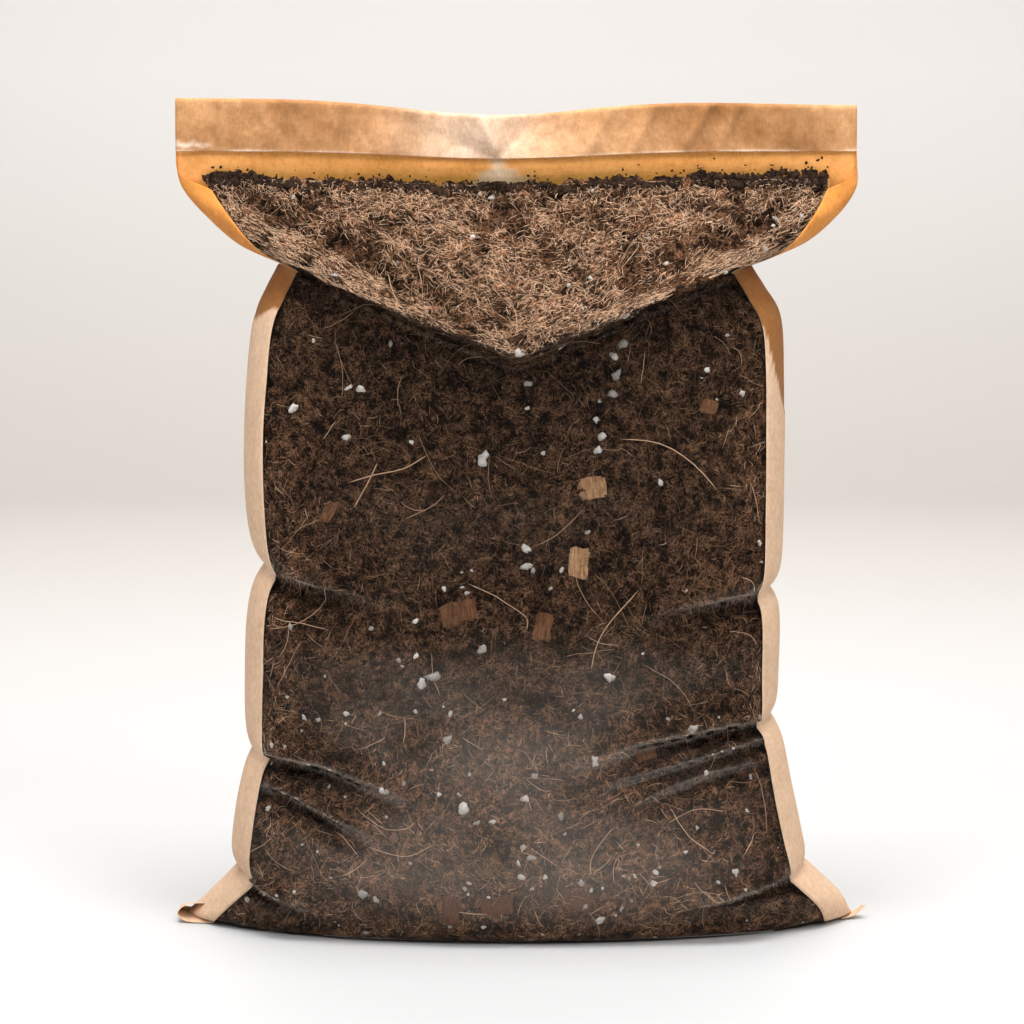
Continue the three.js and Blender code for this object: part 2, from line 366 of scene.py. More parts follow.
def dent(points):
    """The buckle in the middle of the mouth, carried by everything up there."""
    p = np.array(points, dtype=float)
    x = p[..., 0]
    z = p[..., 2]
    near = bump(x, STAR[0], DENT_WIDTH)
    lift = np.clip((z - FOLD_Z) / STRIP_HEIGHT, 0, 1)
    start = smoothstep(FOLD_Z - 32, FOLD_Z, z)
    drop = (3.5 + 4.5 * lift) * near * start
    slump = 3.2 * smoothstep(20, 160, x) * lift
    p[..., 1] = p[..., 1] - 4 * near * bump(z, FOLD_Z, 18)
    p[..., 2] = z - drop - slump
    p[..., 1] = p[..., 1] - star(p[..., 0], p[..., 2]) * smoothstep(FOLD_Z - 26, FOLD_Z - 14, z)
    return p


def surface(across, rows, back=False, out=0.0):
    """The bag's skin with its folds, a distance out along its normal."""
    across = np.broadcast_to(across, (len(rows), np.shape(across)[-1]))
    grid = loft(across, rows, back)
    n = normals(grid) * (-1.0 if back and across[0, 0] < across[0, -1] else 1.0)
    relief = back_relief(grid) if back else front_relief(grid)
    power = spline(STATIONS, rows)[:, [SQUARENESS]]
    calm = smoothstep(0.985, 0.83, np.sin(np.abs(across) * math.pi / 2) ** (2 / power))
    base = smoothstep(0.0, 3.0, rows)[:, None]
    grid = grid + n * ((relief * calm * base) + out)[..., None]
    grid[..., 2] = np.maximum(grid[..., 2], 0.0)
    return grid


# ---- mesh building ----

def make_mesh(name, points, faces, material, smooth=True):
    """An object from points in millimetres and an array of quads or triangles."""
    points = to_world(points).reshape(-1, 3)
    faces = np.asarray(faces, dtype=np.int32)
    corners = faces.shape[1]
    mesh = bpy.data.meshes.new(name)
    mesh.vertices.add(len(points))
    mesh.vertices.foreach_set("co", points.astype(np.float32).ravel())
    mesh.loops.add(faces.size)
    mesh.loops.foreach_set("vertex_index", faces.ravel())
    mesh.polygons.add(len(faces))
    mesh.polygons.foreach_set("loop_start", np.arange(0, faces.size, corners, dtype=np.int32))
    mesh.polygons.foreach_set("loop_total", np.full(len(faces), corners, dtype=np.int32))
    mesh.polygons.foreach_set("use_smooth", np.full(len(faces), smooth))
    mesh.update(calc_edges=True)
    mesh.validate()
    mesh.materials.append(material)
    obj = bpy.data.objects.new(name, mesh)
    bpy.context.collection.objects.link(obj)
    return obj


def grid_quads(index):
    quads = np.stack([index[:-1, :-1], index[:-1, 1:], index[1:, 1:], index[1:, :-1]], axis=-1)
    return quads.reshape(-1, 4)


def sheet(name, outer, inner, material, inner_material=None, edge_material=None):
    """A closed thin sheet between two grids of points of the same shape, outer facing out."""
    rows, columns = outer.shape[:2]
    size = rows * columns
    index = np.arange(size).reshape(rows, columns)
    faces = [grid_quads(index), grid_quads(index + size)[:, ::-1]]
    rims = [index[0, ::-1], index[-1, :], index[:, 0], index[::-1, -1]]
    for rim in rims:
        faces.append(np.stack([rim[:-1], rim[1:], rim[1:] + size, rim[:-1] + size], axis=-1))
    points = np.concatenate([outer.reshape(-1, 3), inner.reshape(-1, 3)])
    obj = make_mesh(name, points, np.concatenate(faces), material)
    side = len(faces[0])
    look = np.zeros(len(obj.data.polygons), dtype=np.int32)
    inner_faces = slice(side, 2 * side)
    edge_faces = slice(2 * side, None)
    for part, extra in ((inner_faces, inner_material), (edge_faces, edge_material)):
        if extra:
            obj.data.materials.append(extra)
            look[part] = len(obj.data.materials) - 1
    obj.data.polygons.foreach_set("material_index", look)
    return obj


def set_attribute(obj, name, values):
    attribute = obj.data.attributes.new(name, "FLOAT", "POINT")
    attribute.data.foreach_set("value", np.asarray(values, dtype=np.float32))


# ---- materials ----

BLACK = (0, 0, 0)
WHITE = (1, 1, 1)
# A painted shade: the deep brown of paper in shadow.
KRAFT_PAINTED_SHADE = (0.31, 0.135, 0.045)
# Pale paper: where it is worn, and as a painted highlight on lit facets and edges.
KRAFT_WEAR_AND_HIGHLIGHT = (0.96, 0.77, 0.63)
# A painted glow: the orange of paper with light coming through it.
GLOW_LIGHT = (0.76, 0.33, 0.085)
GLOW_DARK = (0.58, 0.225, 0.05)


def new_material(name):
    material = bpy.data.materials.new(name)
    material.use_nodes = True
    tree = material.node_tree
    tree.nodes.clear()
    return material, tree, tree.nodes.new("ShaderNodeOutputMaterial")


def coordinates(tree):
    return tree.nodes.new("ShaderNodeTexCoord").outputs["Object"]


def noise_node(tree, vector, scale, detail=4.0, roughness=0.6, distortion=0.0):
    node = tree.nodes.new("ShaderNodeTexNoise")
    node.inputs["Scale"].default_value = scale
    node.inputs["Detail"].default_value = detail
    node.inputs["Roughness"].default_value = roughness
    node.inputs["Distortion"].default_value = distortion
    tree.links.new(vector, node.inputs["Vector"])
    return node.outputs["Fac"]


def ramp(tree, value, stops):
    node = tree.nodes.new("ShaderNodeValToRGB")
    elements = node.color_ramp.elements
    while len(elements) < len(stops):
        elements.new(0.5)
    for element, (position, color) in zip(elements, stops):
        element.position = position
        element.color = (*color, 1.0)
    tree.links.new(value, node.inputs["Fac"])
    return node.outputs["Color"]


def mix_color(tree, factor, a, b, blend="MIX"):
    node = tree.nodes.new("ShaderNodeMix")
    node.data_type = "RGBA"
    node.blend_type = blend
    for socket, value in ((node.inputs[0], factor), (node.inputs[6], a), (node.inputs[7], b)):
        if isinstance(value, (int, float)):
            socket.default_value = value
        elif isinstance(value, tuple):
            socket.default_value = (*value, 1.0)
        else:
            tree.links.new(value, socket)
    return node.outputs[2]


def math_node(tree, operation, *values):
    node = tree.nodes.new("ShaderNodeMath")
    node.operation = operation
    for socket, value in zip(node.inputs, values):
        if isinstance(value, (int, float)):
            socket.default_value = value
        else:
            tree.links.new(value, socket)
    return node.outputs[0]


def bump_node(tree, height, strength, distance):
    node = tree.nodes.new("ShaderNodeBump")
    node.inputs["Strength"].default_value = strength
    node.inputs["Distance"].default_value = distance
    tree.links.new(height, node.inputs["Height"])
    return node.outputs["Normal"]


def stretched(tree, vector, scale):
    node = tree.nodes.new("ShaderNodeMapping")
    node.inputs["Scale"].default_value = scale
    tree.links.new(vector, node.inputs["Vector"])
    return node.outputs["Vector"]


def clamped(value):
    value.node.use_clamp = True
    return value


def matte_shader(tree, output, base, normal, roughness, specular):
    """The shader of a dry surface, joined to its material's output."""
    shader = tree.nodes.new("ShaderNodeBsdfPrincipled")
    tree.links.new(base, shader.inputs["Base Color"])
    tree.links.new(normal, shader.inputs["Normal"])
    shader.inputs["Roughness"].default_value = roughness
    shader.inputs["Specular IOR Level"].default_value = specular
    tree.links.new(shader.outputs[0], output.inputs["Surface"])
    return shader


def mesh_value(tree, name):
    """A number stored on the mesh, or 0 where the mesh has none."""
    node = tree.nodes.new("ShaderNodeAttribute")
    node.attribute_name = name
    return node.outputs["Fac"]


def kraft_material(name, light, dark, mottled, glow=(GLOW_LIGHT, GLOW_DARK), translucent=0.0):
    """Kraft paper, pale where it is worn and where a highlight is painted on it.

    Its lit value runs from 0, tan, through 0.5, a deep brown of painted shade, to 1, an orange of painted
    glow from the light coming through.
    """
    material, tree, output = new_material(name)
    where = coordinates(tree)
    cloud = noise_node(tree, where, 34, detail=7, roughness=0.7)
    mottle = noise_node(tree, where, 130, detail=5, roughness=0.65)
    grain = noise_node(tree, stretched(tree, where, (1.0, 1.0, 0.22)), 1500, detail=3)
    pulp = noise_node(tree, where, 420, detail=4, roughness=0.7)
    lit = mesh_value(tree, "lit")
    # Painted shade towards the deep brown and painted glow towards orange, from the lit value; then pale for
    # wear and for a painted highlight.
    painted_shade_share = clamped(math_node(tree, "MULTIPLY", lit, 2.0))
    painted_glow_share = clamped(math_node(tree, "MULTIPLY_ADD", lit, 2.0, -1.0))
    plain = ramp(tree, cloud, [(0.32, dark), (0.68, light)])
    base = mix_color(tree, painted_shade_share, plain, KRAFT_PAINTED_SHADE)
    bright = ramp(tree, cloud, [(0.34, glow[1]), (0.66, glow[0])])
    base = mix_color(tree, painted_glow_share, base, bright)
    base = mix_color(tree, mesh_value(tree, "wear_and_highlight"), base, KRAFT_WEAR_AND_HIGHLIGHT)
    for value, low, high, share in ((mottle, (0.80, 0.76, 0.70), (1.12, 1.12, 1.12), mottled),
                                    (pulp, (0.78, 0.72, 0.64), (1.06, 1.05, 1.04), 0.5),
                                    (grain, (0.86, 0.82, 0.76), (1.05, 1.04, 1.03), 0.6)):
        tone = ramp(tree, value, [(0.36, low), (0.64, high)])
        base = mix_color(tree, share, base, tone, "MULTIPLY")
    height = math_node(tree, "ADD", grain, math_node(tree, "MULTIPLY", cloud, 2.0))
    shader = matte_shader(tree, output, base, bump_node(tree, height, 0.25, 0.0004), 0.8, 0.25)
    shader.inputs["Subsurface Weight"].default_value = translucent
    shader.inputs["Subsurface Radius"].default_value = (1.0, 0.5, 0.2)
    shader.inputs["Subsurface Scale"].default_value = 0.004
    return material


def film_material():
    """Clear film: a thin coat of reflection, with a dusty bloom low in the middle and a painted sheen along
    the crests of its folds.
    """
    material, tree, output = new_material("clear_film")
    where = coordinates(tree)
    split = tree.nodes.new("ShaderNodeSeparateXYZ")
    tree.links.new(where, split.inputs[0])
    height = ramp(tree, math_node(tree, "MULTIPLY", split.outputs["Z"], 4.0),
                  [(0.03, BLACK), (0.14, WHITE), (0.34, WHITE), (0.62, BLACK)])
    across = ramp(tree, math_node(tree, "ABSOLUTE", split.outputs["X"], 0.0),
                  [(0.03, WHITE), (0.115, (0.12, 0.12, 0.12))])
    cloud = noise_node(tree, where, 22, detail=5, roughness=0.6)
    patch = ramp(tree, cloud, [(0.3, (0.35, 0.35, 0.35)), (0.7, WHITE)])
    bloom = math_node(tree, "MULTIPLY", math_node(tree, "MULTIPLY", height, across), patch)
    shader = tree.nodes.new("ShaderNodeBsdfPrincipled")
    shader.inputs["Base Color"].default_value = (1.0, 0.86, 0.75, 1)
    shader.inputs["Metallic"].default_value = 1.0
    tree.links.new(math_node(tree, "MULTIPLY_ADD", bloom, 0.3, 0.14), shader.inputs["Roughness"])
    ripple = noise_node(tree, where, 240, detail=4, roughness=0.55, distortion=0.6)
    tree.links.new(bump_node(tree, ripple, 0.3, 0.0006), shader.inputs["Normal"])
    clear = tree.nodes.new("ShaderNodeBsdfTransparent")
    clear.inputs["Color"].default_value = (0.996, 0.995, 0.993, 1)
    fresnel = tree.nodes.new("ShaderNodeFresnel")
    fresnel.inputs["IOR"].default_value = 1.2
    gloss = math_node(tree, "MINIMUM", fresnel.outputs[0], 0.007)
    mix = tree.nodes.new("ShaderNodeMixShader")
    dust_and_sheen = math_node(tree, "MULTIPLY_ADD", bloom, 0.075, gloss)
    # The sheen value adds a painted sheen: more reflection along the crests of the folds.
    dust_and_sheen = math_node(tree, "MULTIPLY_ADD", mesh_value(tree, "sheen"), 0.075, dust_and_sheen)
    tree.links.new(dust_and_sheen, mix.inputs["Fac"])
    tree.links.new(clear.outputs[0], mix.inputs[1])
    tree.links.new(shader.outputs[0], mix.inputs[2])
    tree.links.new(mix.outputs[0], output.inputs["Surface"])
    return material


def earth_material():
    """Peat and coir dust: dark lumps under a net of fine pale threads."""
    material, tree, output = new_material("peat_and_coir")
    where = coordinates(tree)
    lump = noise_node(tree, where, 170, detail=8, roughness=0.72, distortion=0.5)
    tone = ramp(tree, lump, [(0.38, (0.002, 0.0012, 0.0008)), (0.52, (0.0045, 0.0023, 0.0014)),
                                     (0.70, (0.020, 0.0105, 0.0062))])
    for size, width, seed in ((110, 0.024, 0.0), (190, 0.034, 3.1), (300, 0.05, 7.7)):
        moved = tree.nodes.new("ShaderNodeVectorMath")
        moved.operation = "ADD"
        moved.inputs[1].default_value = (seed, seed * 0.7, -seed)
        tree.links.new(where, moved.inputs[0])
        wander = noise_node(tree, moved.outputs[0], size, detail=2.5, roughness=0.6, distortion=2.4)
        ridge = math_node(tree, "ABSOLUTE", math_node(tree, "SUBTRACT", wander, 0.5))
        thread = ramp(tree, ridge, [(0.0, WHITE), (width, BLACK)])
        broken = noise_node(tree, moved.outputs[0], size * 0.8, detail=2)
        gaps = ramp(tree, broken, [(0.45, BLACK), (0.6, WHITE)])
        shown = math_node(tree, "MULTIPLY", math_node(tree, "MULTIPLY", thread, gaps), 0.8)
        tone = mix_color(tree, shown, tone, (0.24, 0.125, 0.067))
    # Painted light: brighter by the mesh's value, low down, at the sides and on the slope, and darker in the
    # pits.
    tone = mix_color(tree, mesh_value(tree, "painted_light"), tone, (3.0, 2.7, 2.5), "MULTIPLY")
    matte_shader(tree, output, tone, bump_node(tree, lump, 1.0, 0.002), 0.95, 0.15)
    return material


def tinted_material(name, stops, scale, strength=0.5, grained=False):
    """A material whose base tone comes from the mesh's own tint value, broken up by fine noise."""
    material, tree, output = new_material(name)
    where = coordinates(tree)
    grain = noise_node(tree, where, scale, detail=5, roughness=0.65)
    base = ramp(tree, mesh_value(tree, "tint"), stops)
    broken = ramp(tree, grain, [(0.3, (0.55, 0.52, 0.5)), (0.7, (1.2, 1.18, 1.15))])
    tone = mix_color(tree, 0.7, base, broken, "MULTIPLY")
    if grained:
        place = tree.nodes.new("ShaderNodeCombineXYZ")
        for axis, attribute, stretch in (("X", "grain_across", 1.4),
                                         ("Y", "grain_along", 0.12),
                                         ("Z", "tint", 40.0)):
            scaled = math_node(tree, "MULTIPLY", mesh_value(tree, attribute), stretch)
            tree.links.new(scaled, place.inputs[axis])
        rings = noise_node(tree, place.outputs[0], 1.0, detail=3)
        streak = ramp(tree, rings, [(0.35, (0.42, 0.36, 0.30)), (0.62, (1.15, 1.12, 1.08))])
        tone = mix_color(tree, 0.9, tone, streak, "MULTIPLY")
    matte_shader(tree, output, tone, bump_node(tree, grain, strength, 0.0005), 0.9, 0.2)
    return material


KRAFT = kraft_material("kraft_paper", (0.73, 0.52, 0.37), (0.69, 0.48, 0.335), 0.3)
# The inside's glow colours, brighter than paper can be, paint light coming through it.
KRAFT_INSIDE = kraft_material("kraft_paper_inside", (0.73, 0.52, 0.37), (0.69, 0.48, 0.335), 0.5,
                              glow=((1.15, 0.48, 0.18), (1.05, 0.40, 0.13)), translucent=0.2)
KRAFT_STRIP = kraft_material("kraft_strip_paper", (0.74, 0.43, 0.225), (0.55, 0.28, 0.125), 0.9)
KRAFT_EDGE = kraft_material("kraft_cut_edge", (0.90, 0.78, 0.64), (0.78, 0.64, 0.48), 0.5)
FILM = film_material()
EARTH = earth_material()
FIBRE = tinted_material("coir_fibre", [(0.0, (0.018, 0.009, 0.005)), (0.35, (0.066, 0.032, 0.017)),
                                       (0.65, (0.34, 0.195, 0.112)), (1.0, (0.90, 0.62, 0.42))], 700)
PERLITE = tinted_material("perlite", [(0.0, (0.22, 0.20, 0.18)), (1.0, (0.62, 0.60, 0.57))], 900,
                          strength=0.9)
CHIP = tinted_material("wood_chip", [(0.0, (0.07, 0.028, 0.016)), (0.5, (0.17, 0.085, 0.045)),
                                     (1.0, (0.42, 0.255, 0.145))], 500, strength=0.9, grained=True)
CRUMB = tinted_material("peat_crumb", [(0.0, (0.010, 0.006, 0.004)), (1.0, (0.05, 0.028, 0.018))], 800)


# ---- the film ----

FILM_ROWS = 230
FILM_COLUMNS = 118
FILM_OVERLAP = 0.03  # how far the film goes on behind the paper's margin


def make_film():
    rows = even_rows(FILM_ROWS)
    across = np.linspace(-1, 1, FILM_COLUMNS)[None, :] * (seam(rows)[:, None] + FILM_OVERLAP)
    outer = dent(surface(across, rows, out=FILM_OUT))
    inner = dent(surface(across, rows, out=FILM_OUT - FILM_THICKNESS))
    film = sheet("front_film_sheet", outer, inner, FILM)
    # A painted sheen along the crests of the folds.
    sheen = fold_band(outer, -0.45, 0.35) * (0.6 + 0.4 * noise(outer, 12, 91))
    set_attribute(film, "sheen", np.concatenate([sheen.ravel(), sheen.ravel()]))
    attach(film, "root")
    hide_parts("front_film")


# ---- the paper ----

PAPER_ROWS = 225
MOUTH_ROWS = 22  # more rows from the soil line to the strip
MARGIN_COLUMNS = 16
BACK_COLUMNS = 90

# The lines over which each front margin turns from tan, with compost behind it, to the painted glow of light
# coming through the paper, where there is no compost.
GLOW_LINES = [((-124.0, 292.3), (-114.8, 297.9)), ((116.1, 289.6), (126.9, 249.2))]


def light_through(points, facing):
    """The lit value of the paper: 0.5 for painted shade on the shoulders, 1 for painted glow on the cheeks
    that light comes through.

    It is crisp on the front margins, where facing is 1, and dies away softly round the sides.
    """
    x = points[..., 0]
    z = points[..., 2]
    share = np.zeros(x.shape)
    for side, line in zip((-1, 1), GLOW_LINES):
        xs, zs = np.array(line).T
        above = smoothstep(-0.5, 0.5, (z - np.interp(x, xs, zs)) / (2 + 90 * (1 - facing)))
        glow = 0.52 + 0.48 * smoothstep(316, 324, z)
        share = np.maximum(share, above * glow * smoothstep(96, 104, side * x))
    return share * facing


def make_paper():
    back = np.linspace(1.0, -1.0, BACK_COLUMNS)
    mouth = np.linspace(SOIL_LAST - 0.3, STRIP_STATION + 0.2, MOUTH_ROWS)
    rows = np.sort(np.concatenate([even_rows(PAPER_ROWS), mouth]))
    start = seam(rows)[:, None]
    margin = start + (1 - start) * np.linspace(0, 1, MARGIN_COLUMNS)[None, :]
    right = surface(margin, rows, out=PAPER_OUT)
    behind = surface(back, rows, back=True, out=PAPER_OUT)
    left = surface(-margin[:, ::-1], rows, out=PAPER_OUT)
    ring = np.concatenate([right, behind[:, 1:-1], left], axis=1)
    ring[:, MARGIN_COLUMNS - 1] = (right[:, -1] + behind[:, 0]) / 2
    ring[:, -MARGIN_COLUMNS] = (left[:, 0] + behind[:, -1]) / 2
    facing = np.ones(ring.shape[1])
    facing[MARGIN_COLUMNS:-MARGIN_COLUMNS] = smoothstep(0.11, 0.0, 1 - np.abs(back[1:-1]))
    # Painted shade on the shoulders and painted glow on the cheeks of the front margins.
    lit = light_through(ring, facing)
    ring = ring - normals(ring) * (lit * smoothstep(322, 312, ring[..., 2]))[..., None]
    inner = ring - normals(ring) * PAPER_THICKNESS
    inner[..., 2] = np.maximum(inner[..., 2], PAPER_THICKNESS)
    ring[..., 2] = np.maximum(ring[..., 2], 0.0)
    paper = sheet("kraft_bag_sheet", dent(ring), dent(inner), KRAFT, KRAFT_INSIDE, KRAFT_EDGE)
    # A painted glow on the paper's inside from a little below the soil line up, for light coming through it.
    shining = smoothstep(SOIL_LINE - 20, SOIL_LINE - 8, ring[..., 2])
    set_attribute(paper, "lit", np.concatenate([lit.ravel(), shining.ravel()]))
    # A painted highlight: a pale triangle on the paper's inside below the buckle, seen through the film.
    below = np.clip(STAR[1] + 3 - ring[..., 2], 0, 30)
    wear_and_highlight = 0.85 * smoothstep(1.0, 0.6, np.abs(ring[..., 0] - STAR[0] - 0.2 * below) / (1.5 * below + 0.5))
    wear_and_highlight = wear_and_highlight * (ring[..., 2] > SOIL_LINE - 12) * smoothstep(FOLD_Z + 3, FOLD_Z, ring[..., 2])
    set_attribute(paper, "wear_and_highlight", np.concatenate([np.zeros(wear_and_highlight.size), wear_and_highlight.ravel()]))
    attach(paper, "root")
    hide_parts("kraft_sheet")


# ---- the closing strip ----

STRIP_SEAMS = (-152.6, 145.5)  # where the strip's own ends are lapped

# Slanting wrinkles: x, lean over the strip's height, width, height.
WRINKLES = [(-118, 10, 8.0, 2.6), (-88, 6, 4.0, 3.8), (-62, 10, 8.0, 4.0), (32, 14, 7.0, 3.2),
            (54, 12, 4.0, 3.6), (78, 14, 4.5, 4.2), (94, 12, 3.5, 2.8), (124, 8, 8.0, 2.4)]


def strip_relief(x, z):
    """How far the strip stands forward: lapped ends and soft slanting wrinkles."""
    lift = np.clip((z - FOLD_Z) / STRIP_HEIGHT, 0, 1)
    laps = smoothstep(0.4, -0.4, x - STRIP_SEAMS[0]) + smoothstep(-0.4, 0.4, x - STRIP_SEAMS[1])
    total = 0.4 * laps
    for at, lean, width, height in WRINKLES:
        total = total + height * np.exp(-np.abs(x - at - lean * lift) / width) * (0.35 + 0.65 * lift)
    return total


def make_strip():
    radius = 1.6  # of the fold over the mouth, inside
    leg = STRIP_HEIGHT - radius - STRIP_THICKNESS
    top = BAG_HEIGHT - radius - STRIP_THICKNESS
    up = np.concatenate([[0, 0.02, 0.045, 0.08], np.linspace(0.13, 1, 13)])
    turn = np.linspace(0, math.pi, 9)[1:-1]
    y = np.concatenate([np.full(len(up), -1.0), -np.cos(turn), np.full(len(up), 1.0)])
    z = top - leg + np.concatenate([leg * up, np.full(len(turn), leg), leg * up[::-1]])
    rise = np.concatenate([np.zeros(len(up)), np.sin(turn), np.zeros(len(up))])
    x = np.sort(np.concatenate([np.linspace(-MOUTH_HALF_WIDTH, MOUTH_HALF_WIDTH, 230),
                                np.array(STRIP_SEAMS) - 0.5, np.array(STRIP_SEAMS) + 0.5]))

    def layer(reach):
        grid = np.zeros((len(y), len(x), 3))
        grid[..., 0] = x[None, :]
        grid[..., 1] = MOUTH_Y + (y * reach)[:, None]
        grid[..., 2] = (z + rise * reach)[:, None]
        flat = grid.copy()
        flat[..., 1] = 0
        wave = 0.9 * noise(flat, 34, 21) + 0.4 * noise(flat, 13, 22) + 0.15 * noise(flat, 6, 23)
        ahead = ((1 - y) / 2)[:, None]
        relief = strip_relief(grid[..., 0], grid[..., 2])
        grid[..., 1] = grid[..., 1] + (wave - 0.4 - relief) * ahead + (0.3 + 0.3 * wave) * (1 - ahead)
        return dent(grid)

    outer = layer(radius + STRIP_THICKNESS)
    strip = sheet("folded_closing_strip", outer, layer(radius), KRAFT_STRIP, None, KRAFT_EDGE)
    flat = outer.copy()
    flat[..., 1] = 0
    # Painted shade: random patches darkened towards the deep brown, standing in for the shading of the
    # strip's facets, a little more towards its ends.
    tone = 0.06 + 0.42 * noise(flat, 45, 24) + 0.2 * noise(flat, 14, 27)
    lit = np.clip(0.8 * tone + 0.08 * smoothstep(20, 150, np.abs(outer[..., 0])), 0, 0.45)
    # Pale marks: a torn crack at the left end, and painted highlights on the facets round the buckle and
    # along the strip's lower edge.
    crack_z = FOLD_Z + 3.2 + 1.2 * noise(flat, 4, 25)
    crack = smoothstep(-141, -150, outer[..., 0]) * bump(outer[..., 2], crack_z, 0.7)
    away = np.hypot(outer[..., 0] - STAR[0] + 10, outer[..., 2] - STAR[1] - 6)
    lip = smoothstep(1.3, 0.5, z[:, None] - FOLD_Z) * np.clip(0.5 + noise(flat, 18, 26), 0, 1)
    wear_and_highlight = np.maximum(np.maximum(0.9 * crack, 0.7 * np.exp(-((away / 30) ** 2))), 0.8 * lip)
    for name, value in (("lit", lit), ("wear_and_highlight", wear_and_highlight)):
        value = value * smoothstep(1.0, 0.0, y)[:, None]
        set_attribute(strip, name, np.concatenate([value.ravel(), value.ravel()]))
    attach(strip, "root")
    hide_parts("closing_strip")


# ---- the corner ears ----

def make_ear(name, path, depth_low, depth_high, fray, narrow):
    """A tongue of the bottom seal at a corner: a strip of paper bent along a path of (x, z).

    depth_low and depth_high are the y of its two long edges, each at the path's start and end. fray is how
    rough its tip is, and narrow how far its far edge is drawn in.
    """
    rows = spline(path, np.linspace(0, len(path) - 1, 12 * (len(path) - 1)))
    across = np.linspace(0, 1, 12)
    grid = np.zeros((len(rows), len(across), 3))
    share = np.linspace(0, 1, len(rows))[:, None]
    grid[..., 0] = rows[:, :1]
    near = depth_low[0] + (depth_low[1] - depth_low[0]) * share
    far = depth_high[0] + (depth_high[1] - depth_high[0]) * share
    grid[..., 1] = near + (far - near) * across
    middle = rows[:, 1:].mean()
    grid[..., 2] = rows[:, 1:] + (middle - rows[:, 1:]) * narrow * across
    grid[..., 0] += fray * share ** 6 * noise(grid * [0, 1, 0] + 5, 1.3, 71)
    turned = normals(grid)
    half = turned * PAPER_THICKNESS / 2
    ear = sheet(name, grid + half, grid - half, KRAFT, KRAFT, KRAFT_EDGE)
    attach(ear, "root")


def make_ears():
    make_ear("corner_ear_left", [(-145, 7.6), (-152, 9.3), (-160, 8.4), (-164, 4.6), (-160, 1.2),
                                 (-152, 0.6), (-146, 0.9)], (-11, -17), (6, 2), 0.0, 0.8)
    make_ear("corner_ear_right", [(158, 0.8), (163, 1.6), (166.5, 3.4), (169.5, 6.2)],
             (-9, -5), (3, 0), 1.6, 0.0)


# ---- the compost ----

def clump(points):
    """Above 0 where fibres mat together, below 0 over the dark pits between them."""
    mats = noise(points, 7.5, 81) + 0.6 * noise(points, 3.4, 82) + 0.5 * noise(points, 19, 83)
    # Lower along the slope's valleys, which darkens them with painted shade where this sets the compost's and
    # fibres' colour.
    return mats - 0.12 * valley(points[..., 0], points[..., 2])


def painted_light_share(points):
    """How much painted light brightens the compost, from 0 to 1: most low down and out at the sides, least in
    the pits between matted fibres as painted shade.
    """
    z = points[..., 2]
    low = smoothstep(135, 55, z + 22 * noise(points, 45, 84))
    side = smoothstep(85, 118, np.abs(points[..., 0])) * (z < 262)
    return np.clip(np.maximum(low, side), 0, 1) * (0.4 + 0.6 * smoothstep(-0.6, 0.6, clump(points)))


def soil_depth(points):
    """How far the compost's surface lies behind the film."""
    lumps = 1.1 * np.abs(noise(points, 11, 31)) + 1.0 * np.abs(noise(points, 4.5, 32))
    pits = 1.6 * smoothstep(0.1, 0.6, -clump(points))
    fine = 0.7 * np.abs(noise(points, 2.2, 33))
    return 0.35 + (lumps + pits + fine) * smoothstep(0, 14, points[..., 2]) + 5.5 * hollow(points)


def grid_triangles(index):
    low = np.stack([index[:-1, :-1], index[:-1, 1:], index[1:, 1:]], axis=-1)
    high = np.stack([index[:-1, :-1], index[1:, 1:], index[1:, :-1]], axis=-1)
    return np.concatenate([low.reshape(-1, 3), high.reshape(-1, 3)])


def fan(loop, centre):
    return np.stack([loop[1:], loop[:-1], np.full(len(loop) - 1, centre)], axis=-1)


SOIL_ROWS = 300
SOIL_COLUMNS = 230


def make_soil():
    rows = even_rows(SOIL_ROWS, last=SOIL_LAST)
    tuck = 0.12 * smoothstep(19.2, 17.0, rows)
    across = np.linspace(-1, 1, SOIL_COLUMNS)[None, :] * (fill_edge(rows) + tuck)[:, None]
    face = surface(across, rows)
    face = face - normals(face) * soil_depth(face)[..., None]
    ragged = 2.6 * noise(face, 9, 35) + 3.4 * noise(face, 2.6, 36)
    face[..., 2] = face[..., 2] + ragged * smoothstep(345, SOIL_LINE, face[..., 2])
    face[..., 2] = np.maximum(face[..., 2], 0.3)
    rear = surface(across[:, ::-10], rows, back=True, out=-1.6)
    rear[..., 2] = np.maximum(rear[..., 2] - 7 * smoothstep(335, SOIL_LINE, rear[..., 2]), 0.7)
    ring = np.concatenate([dent(face), dent(rear)], axis=1)
    # A last row below the edge keeps the ragged soil line from being hidden by the cap.
    sunk = ring[-1:].copy()
    sunk[..., 1] = 0.5 * sunk[..., 1] + 0.5 * MOUTH_Y
    sunk[..., 2] = SOIL_LINE - 14
    ring = np.concatenate([ring, sunk])
    rows_count, total = ring.shape[:2]
    index = np.arange(rows_count * total).reshape(rows_count, total)
    closed = np.concatenate([index, index[:, :1]], axis=1)
    walls = grid_triangles(closed)
    low_cap = fan(closed[0], rows_count * total)
    high_cap = fan(closed[-1][::-1], rows_count * total + 1)
    points = np.concatenate([ring.reshape(-1, 3), ring[[0, -1]].mean(axis=1)])
    soil = make_mesh("compost_mass", points, np.concatenate([walls, low_cap, high_cap]), EARTH)
    # Painted light on the slope that faces the lamps, less in its pits as painted shade, over the painted
    # light low down and at the sides.
    slope = smoothstep(16, 16.8, np.append(rows, SOIL_LAST))[:, None]
    painted_light = 0.35 * painted_light_share(ring) + slope * (0.2 + 0.8 * smoothstep(-0.5, 0.5, clump(ring)))
    set_attribute(soil, "painted_light", np.append(np.clip(painted_light, 0, 1), [0, 0]))
    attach(soil, "root")
    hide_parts("compost_fill")


# ---- reading the front as a surface, for what lies on it ----

